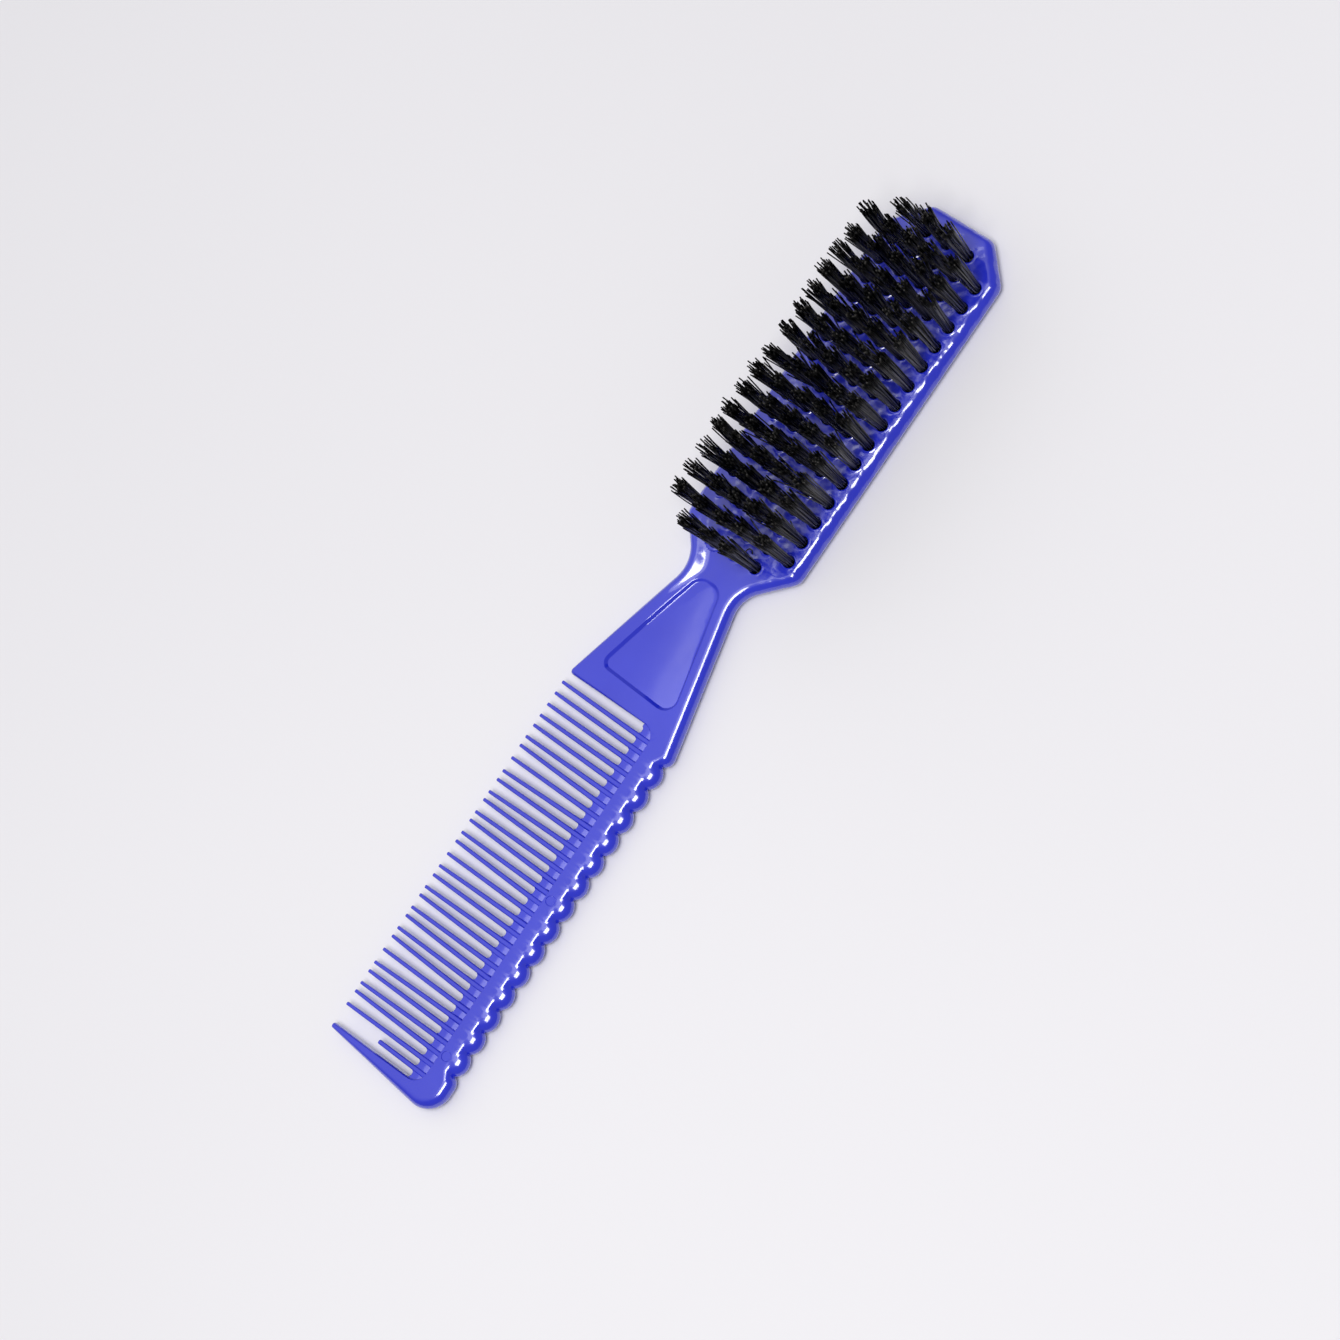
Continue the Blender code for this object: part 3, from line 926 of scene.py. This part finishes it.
def bristle_line(rng, place, x, y, lean, clumps):
    """Centre line of one bristle in the layout, from its fold in the hole up to its cut end."""
    px, py = place
    reach = math.hypot(px, py)
    clump = min(clumps, key=lambda c: (c[0] - px) ** 2 + (c[1] - py) ** 2)
    flare = TUFT_TIP_RADIUS * (MIDDLE_FLARE + (1 - MIDDLE_FLARE) * reach)
    tip_x = (px + (clump[0] - px) * CLUMP_PULL) * flare + lean[0] + rng.gauss(0, TIP_SCATTER)
    tip_y = (py + (clump[1] - py) * CLUMP_PULL) * flare + lean[1] + rng.gauss(0, TIP_SCATTER)
    stray = rng.random() < STRAY_CHANCE
    if stray:
        tip_x += rng.gauss(0, STRAY_SCATTER)
        tip_y += rng.gauss(0, STRAY_SCATTER)
    bottom = THICKNESS - HOLE_DEPTH + FOLD_HEIGHT
    shorter = abs(rng.gauss(0, LENGTH_SCATTER)) + (STRAY_SHORTER if stray else 0)
    top = THICKNESS + BRISTLE_LENGTH - shorter
    bow_x = rng.gauss(0, BOW_SCATTER)
    bow_y = rng.gauss(0, BOW_SCATTER)
    points = []
    for i in range(BRISTLE_STATIONS):
        s = i / (BRISTLE_STATIONS - 1)
        z = bottom + (top - bottom) * s
        free = max(0.0, (z - THICKNESS + FLARE_DEPTH) / (BRISTLE_LENGTH + FLARE_DEPTH))
        open_out = free**FLARE_POWER
        curve = math.sin(math.pi * free)
        root = TUFT_ROOT_RADIUS * (1 - open_out)
        along_x = x + px * root + tip_x * open_out + bow_x * curve
        along_y = y + py * root + tip_y * open_out + bow_y * curve
        points.append((along_x, along_y, z))
    return points


def looped_line(x, y):
    """Centre line of the looped bristle: straight up beside its tuft, then round in a hook."""
    points = []
    for share in np.linspace(0.0, 1.0, STEM_STATIONS):
        points.append((x, y + LOOP_LEAN * share, THICKNESS + LOOP_START * share))
    _, foot_y, foot_z = points[-1]
    for angle in np.linspace(0.0, LOOP_TURN, LOOP_STATIONS)[1:]:
        out = LOOP_RADIUS * (1 - math.cos(angle))
        points.append((x, foot_y + out, foot_z + LOOP_HEIGHT * math.sin(angle)))
    return points


def add_bristle(bm, line, tone, tone_layer, rise_layer):
    """A bristle as a thin tube along the line, closed at both ends.

    Its vertices carry its own tone, from 0 to 1, and how far along it they are, for its material, which
    paints sheen and shade by them.
    """
    rings = []
    last = len(line) - 1
    for i, centre in enumerate(line):
        along = Vector(line[min(i + 1, last)]) - Vector(line[max(i - 1, 0)])
        second = along.cross(Vector((1, 0, 0))).normalized()
        first = second.cross(along).normalized()
        ring = []
        for side in range(BRISTLE_SIDES):
            angle = 2 * math.pi * side / BRISTLE_SIDES
            outwards = first * math.cos(angle) + second * math.sin(angle)
            vertex = bm.verts.new(placed(*(Vector(centre) + outwards * BRISTLE_RADIUS)))
            vertex[tone_layer] = tone
            vertex[rise_layer] = i / last
            ring.append(vertex)
        rings.append(ring)
    for low, high in zip(rings, rings[1:]):
        bridge(bm, low, high)
    bm.faces.new(list(reversed(rings[0])))
    bm.faces.new(rings[-1])


def add_tuft(bm, rng, x, y, tone_layer, rise_layer):
    """A tuft's bristles. They lean together a little, and their tips gather towards a few clumps."""
    lean = (rng.gauss(0, TUFT_LEAN), rng.gauss(0, TUFT_LEAN))
    clumps = []
    for _ in range(CLUMPS_IN_TUFT):
        reach = math.sqrt(rng.random())
        angle = rng.uniform(0, 2 * math.pi)
        clumps.append((reach * math.cos(angle), reach * math.sin(angle)))
    for place in bristle_places(rng):
        line = bristle_line(rng, place, x, y, lean, clumps)
        add_bristle(bm, line, rng.random(), tone_layer, rise_layer)


def tuft_piece(name, nodes, places, seed, material):
    """One piece of bristles: the tufts that stand at these places."""
    rng = random.Random(seed)
    bm = bmesh.new()
    tone_layer = bm.verts.layers.float.new("tone")
    rise_layer = bm.verts.layers.float.new("rise")
    for x, y in places:
        add_tuft(bm, rng, x, y, tone_layer, rise_layer)
        if name == LOOPED_TUFT:
            add_bristle(bm, looped_line(x, y), LOOP_TONE, tone_layer, rise_layer)
    for face in bm.faces:
        face.smooth = len(face.verts) == 4
    mesh = bpy.data.meshes.new(name)
    bm.to_mesh(mesh)
    bm.free()
    mesh.materials.append(material)
    piece = new_object(name, mesh)
    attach(piece, "root")
    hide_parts(*nodes)


def all_tufts(material):
    """One piece for each of the CAD's tuft nodes, with the one or two tufts that the node holds."""
    groups = {-2: "left_pair", -1: "left_pair", 0: "middle", 1: "right_pair", 2: "right_pair"}
    short = {-1: "left", 0: "middle", 1: "right"}
    nodes = {}
    for row, column, x, y in tuft_places():
        side = (short if row in (1, ROW_COUNT) else groups)[column]
        nodes.setdefault(f"tufts_row_{row:02d}_{side}", []).append((x, y))
    for seed, (node, places) in enumerate(nodes.items()):
        tuft_piece(node.replace("tufts", "bristles"), [node], places, seed, material)


def add_anchor(bm, x, y):
    """A small flat metal plate across the bottom of a tuft's hole, with softened edges."""
    made = bmesh.ops.create_cube(bm, size=1)
    width, thick, tall = ANCHOR_SIZE
    middle = placed(x, y, THICKNESS - HOLE_DEPTH + ANCHOR_LIFT + tall / 2)
    scale = Matrix.Diagonal((width * MM, thick * MM, tall * MM, 1))
    bmesh.ops.transform(bm, matrix=Matrix.Translation(middle) @ scale, verts=made["verts"])
    edges = {edge for vert in made["verts"] for edge in vert.link_edges}
    offset = ANCHOR_EDGE * MM
    bmesh.ops.bevel(bm, geom=list(edges), offset=offset, segments=2, affect="EDGES", profile=0.5)


def all_anchors(material):
    """The anchors that hold the tufts in their holes, one piece for each row."""
    rows = {}
    for row, _, x, y in tuft_places():
        rows.setdefault(row, []).append((x, y))
    for row, places in rows.items():
        bm = bmesh.new()
        for x, y in places:
            add_anchor(bm, x, y)
        piece = object_from(bm, f"tuft_anchors_row_{row:02d}")
        for polygon in piece.data.polygons:
            polygon.use_smooth = True
        piece.data.materials.append(material)
        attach(piece, "root")


# ---------------------------------------------------------------- materials


def shader_of(material):
    """Turns the material's nodes on, and returns its shader."""
    material.use_nodes = True
    return material.node_tree.nodes["Principled BSDF"]


def node(material, kind, **inputs):
    """A new node with these inputs set. An underscore stands for a space in an input's name."""
    made = material.node_tree.nodes.new(kind)
    for name, value in inputs.items():
        made.inputs[name.replace("_", " ")].default_value = value
    return made


def link(material, source, output, target, entry):
    """Links a node's output to another node's input. Each is a name or a number."""
    material.node_tree.links.new(source.outputs[output], target.inputs[entry])


def noise(material, scale, detail):
    """Noise over the object's own coordinates, in metres. scale is in features for each metre."""
    where = material.node_tree.nodes.new("ShaderNodeTexCoord")
    made = node(material, "ShaderNodeTexNoise", Scale=scale, Detail=detail)
    link(material, where, "Object", made, "Vector")
    return made


def ramp(material, source, output, stops):
    """A colour ramp. stops is a list of (position, linear colour)."""
    made = material.node_tree.nodes.new("ShaderNodeValToRGB")
    elements = made.color_ramp.elements
    while len(elements) < len(stops):
        elements.new(0.5)
    for element, (position, colour) in zip(elements, stops):
        element.position = position
        element.color = (*colour, 1)
    link(material, source, output, made, "Fac")
    return made


def value_range(material, source, output, low, high):
    """An output from 0 to 1 as a number between low and high."""
    made = node(material, "ShaderNodeMapRange", To_Min=low, To_Max=high)
    link(material, source, output, made, "Value")
    return made


def bump(material, source, output, strength, height, under=None):
    """A bump of this height in metres, over another bump where one is given."""
    made = node(material, "ShaderNodeBump", Strength=strength, Distance=height)
    link(material, source, output, made, "Height")
    if under:
        link(material, under, "Normal", made, "Normal")
    return made


# Where the head's dimpled surface starts, and its dimples in features for each metre and in metres
DIMPLES_PAST_NECK = 3
HEAD_FROM = placed(0, NECK_RIGHT[1] + DIMPLES_PAST_NECK, 0).y
HEAD_BLEND = 5 * MM
DIMPLE_SCALE = 330
DIMPLE_HEIGHT = 0.0005

# The sockets of a Mix node that mixes colours
MIX_SHARE = 0
MIX_FIRST = 6
MIX_SECOND = 7
MIX_RESULT = 2


def blue_plastic():
    """Glossy royal blue polymer: slight clouding, soft waves, dimples on the head, fine moulding grain."""
    material = bpy.data.materials.new("blue_plastic")
    shader = shader_of(material)
    cloud = noise(material, 60, 3)
    colour = ramp(
        material, cloud, "Fac", [(0.35, (0.010, 0.019, 0.56)), (0.65, (0.014, 0.025, 0.60))]
    )
    link(material, colour, "Color", shader, "Base Color")
    rough = value_range(material, noise(material, 220, 4), "Fac", 0.16, 0.24)
    link(material, rough, "Result", shader, "Roughness")
    shader.inputs["IOR"].default_value = 1.5
    shader.inputs["Coat Weight"].default_value = 1.0
    shader.inputs["Coat Roughness"].default_value = 0.11
    shader.inputs["Coat IOR"].default_value = 1.7
    where = node(material, "ShaderNodeSeparateXYZ")
    link(material, node(material, "ShaderNodeTexCoord"), "Object", where, "Vector")
    waves = bump(material, noise(material, 90, 2), "Fac", 0.10, 0.0004)
    on_head = node(material, "ShaderNodeMapRange", From_Min=HEAD_FROM, From_Max=HEAD_FROM + HEAD_BLEND)
    link(material, where, "Y", on_head, "Value")
    dimpled = node(material, "ShaderNodeMath")
    dimpled.operation = "MULTIPLY"
    link(material, on_head, "Result", dimpled, 0)
    link(material, noise(material, DIMPLE_SCALE, 1), "Fac", dimpled, 1)
    dimples = bump(material, dimpled, "Value", 0.6, DIMPLE_HEIGHT, waves)
    grain = bump(material, noise(material, 1500, 3), "Fac", 0.03, 0.0001, dimples)
    link(material, grain, "Normal", shader, "Normal")
    link(material, dimples, "Normal", shader, "Coat Normal")
    return material


def black_nylon():
    """Black nylon filament: near black, each bristle a little different, paler at its cut end. Grey painted
    sheen streaks some bristles along the middle of their length; near the root they stay near black, as
    painted shade, and the sheen fades again just below the cut end.
    """
    material = bpy.data.materials.new("black_nylon_filament")
    shader = shader_of(material)
    tone = material.node_tree.nodes.new("ShaderNodeAttribute")
    tone.attribute_name = "tone"
    rise = material.node_tree.nodes.new("ShaderNodeAttribute")
    rise.attribute_name = "rise"
    # Painted sheen: the grey given to bristles with high tones stands in for light mirrored along their
    # sides.
    sheen_stops = [(0.5, (0.001, 0.001, 0.001)), (0.62, (0.03, 0.029, 0.027)), (1.0, (0.12, 0.116, 0.108))]
    painted_sheen = ramp(material, tone, "Fac", sheen_stops)
    # Where along each bristle the painted sheen shows: none near the root, which is painted shade, full over
    # the middle, little just below the cut end.
    heights = [(0.15, (0, 0, 0)), (0.4, (1, 1, 1)), (0.75, (1, 1, 1)), (0.93, (0.08, 0.08, 0.08))]
    along = ramp(material, rise, "Fac", heights)
    # Each bristle's side: its own near-black colour with the painted sheen mixed in.
    side = node(material, "ShaderNodeMix")
    side.data_type = "RGBA"
    side.inputs[MIX_FIRST].default_value = (0.0008, 0.0008, 0.0012, 1)
    link(material, along, "Color", side, MIX_SHARE)
    link(material, painted_sheen, "Color", side, MIX_SECOND)
    ends = [(0.5, (0.001, 0.001, 0.001)), (0.8, (0.018, 0.017, 0.016)), (1.0, (0.06, 0.057, 0.053))]
    at_end = ramp(material, rise, "Fac", [(0.985, (0, 0, 0)), (0.999, (1, 1, 1))])
    colour = node(material, "ShaderNodeMix")
    colour.data_type = "RGBA"
    link(material, at_end, "Color", colour, MIX_SHARE)
    link(material, side, MIX_RESULT, colour, MIX_FIRST)
    link(material, ramp(material, tone, "Fac", ends), "Color", colour, MIX_SECOND)
    link(material, colour, MIX_RESULT, shader, "Base Color")
    rough = value_range(material, tone, "Fac", 0.22, 0.36)
    link(material, rough, "Result", shader, "Roughness")
    shader.inputs["IOR"].default_value = 1.45
    shader.inputs["Specular IOR Level"].default_value = 0.12
    ridges = bump(material, noise(material, 4000, 2), "Fac", 0.1, 0.00005)
    link(material, ridges, "Normal", shader, "Normal")
    return material


def anchor_metal():
    """Galvanised steel strip, slightly uneven."""
    material = bpy.data.materials.new("anchor_steel")
    shader = shader_of(material)
    spangle = noise(material, 900, 3)
    colour = ramp(
        material, spangle, "Fac", [(0.3, (0.42, 0.42, 0.43)), (0.7, (0.60, 0.60, 0.61))]
    )
    link(material, colour, "Color", shader, "Base Color")
    rough = value_range(material, spangle, "Fac", 0.3, 0.5)
    link(material, rough, "Result", shader, "Roughness")
    shader.inputs["Metallic"].default_value = 1.0
    scratches = bump(material, noise(material, 3000, 2), "Fac", 0.15, 0.00005)
    link(material, scratches, "Normal", shader, "Normal")
    return material


def floor_paint():
    """Matt off-white paint, faintly clouded."""
    material = bpy.data.materials.new("pale_floor")
    shader = shader_of(material)
    cloud = noise(material, 3, 2)
    colour = ramp(
        material, cloud, "Fac", [(0.3, (0.76, 0.75, 0.775)), (0.7, (0.79, 0.78, 0.805))]
    )
    link(material, colour, "Color", shader, "Base Color")
    shader.inputs["Roughness"].default_value = 0.7
    return material


# ---------------------------------------------------------------- studio, in metres but for TARGET_MM

LENS = 105.27
SENSOR = 36.0
TARGET_MM = (1.42, -3.27, 0.0)
CAMERA_AZIMUTH = math.radians(2.547)
CAMERA_ELEVATION = math.radians(68.342)
CAMERA_ROLL = math.radians(58.513)
CAMERA_DISTANCE = 0.82083

SOFTBOX_PLACE = (0.265, -0.11, 1.2)
SOFTBOX_SIZE = (0.42, 0.6)
SOFTBOX_POWER = 10.2
SOFTBOX_COLOUR = (1.0, 0.995, 0.985)
FILL_PLACE = (-0.165, 0.01, 1.2)
FILL_SIZE = (0.37, 0.6)
FILL_POWER = 0.9
FILL_COLOUR = (1.0, 1.0, 1.0)

# The room is bright on one side. ROOM_EDGES says how nearly a direction has to point there, as a cosine.
BRIGHT_SIDE = (-0.6, 0.0, 0.8)
ROOM_COLOUR = (0.95, 0.95, 0.98, 1)
ROOM_EDGES = (0.45, 0.97)
ROOM_DIM = 0.25
ROOM_BRIGHT = 0.75
FLOOR_SIZE = 6
FLOOR_DROP = 0.0002


def direction(azimuth, elevation):
    """A unit vector at this azimuth from +X and this height above the floor, in radians."""
    flat = math.cos(elevation)
    return Vector((flat * math.cos(azimuth), flat * math.sin(azimuth), math.sin(elevation)))


def make_camera():
    """The photo's camera: it looks down at the brush, rolled so that the brush lies aslant."""
    camera = bpy.data.objects.new("camera", bpy.data.cameras.new("camera"))
    bpy.context.scene.collection.objects.link(camera)
    camera.data.lens = LENS
    camera.data.sensor_width = SENSOR
    back = direction(CAMERA_AZIMUTH, CAMERA_ELEVATION)
    right = Vector((0, 0, 1)).cross(back).normalized()
    up = back.cross(right)
    turned_right = right * math.cos(CAMERA_ROLL) - up * math.sin(CAMERA_ROLL)
    turned_up = right * math.sin(CAMERA_ROLL) + up * math.cos(CAMERA_ROLL)
    target = Vector(TARGET_MM) * MM
    pose = Matrix((turned_right, turned_up, back)).transposed().to_4x4()
    pose.translation = target + back * CAMERA_DISTANCE
    camera.matrix_world = pose
    bpy.context.scene.camera = camera


def area_light(name, place, size, power, colour):
    """A rectangular soft light at this place in metres, facing the brush. size is along X and along Y."""
    data = bpy.data.lights.new(name, "AREA")
    data.shape = "RECTANGLE"
    data.size, data.size_y = size
    data.energy = power
    data.color = colour
    light = bpy.data.objects.new(name, data)
    bpy.context.scene.collection.objects.link(light)
    light.location = place
    away = Vector(place).normalized()
    across = Vector((0, 1, 0)).cross(away).normalized()
    along = away.cross(across)
    light.rotation_mode = "QUATERNION"
    light.rotation_quaternion = Matrix((across, along, away)).transposed().to_quaternion()


def room():
    """A pale room around the brush, brighter on one side, which its glossy faces mirror."""
    world = bpy.data.worlds.new("studio")
    bpy.context.scene.world = world
    world.use_nodes = True
    tree = world.node_tree
    background = tree.nodes["Background"]
    background.inputs["Color"].default_value = ROOM_COLOUR
    where = tree.nodes.new("ShaderNodeTexCoord")
    towards = tree.nodes.new("ShaderNodeVectorMath")
    towards.operation = "DOT_PRODUCT"
    towards.inputs[1].default_value = BRIGHT_SIDE
    tree.links.new(where.outputs["Generated"], towards.inputs[0])
    level = tree.nodes.new("ShaderNodeMapRange")
    level.interpolation_type = "SMOOTHSTEP"
    level.inputs["From Min"].default_value, level.inputs["From Max"].default_value = ROOM_EDGES
    level.inputs["To Min"].default_value = ROOM_DIM
    level.inputs["To Max"].default_value = ROOM_BRIGHT
    tree.links.new(towards.outputs["Value"], level.inputs["Value"])
    tree.links.new(level.outputs["Result"], background.inputs["Strength"])


def studio():
    """The room, its two lights and its floor."""
    room()
    area_light("softbox", SOFTBOX_PLACE, SOFTBOX_SIZE, SOFTBOX_POWER, SOFTBOX_COLOUR)
    area_light("fill", FILL_PLACE, FILL_SIZE, FILL_POWER, FILL_COLOUR)
    bpy.ops.mesh.primitive_plane_add(size=FLOOR_SIZE)
    floor = bpy.context.object
    floor.name = "floor"
    floor.location.z = body_low.z - FLOOR_DROP
    floor.data.materials.append(floor_paint())
    bpy.context.scene.view_settings.view_transform = "Standard"


def main():
    moulded_body(blue_plastic())
    all_tufts(black_nylon())
    all_anchors(anchor_metal())
    make_camera()
    studio()


main()
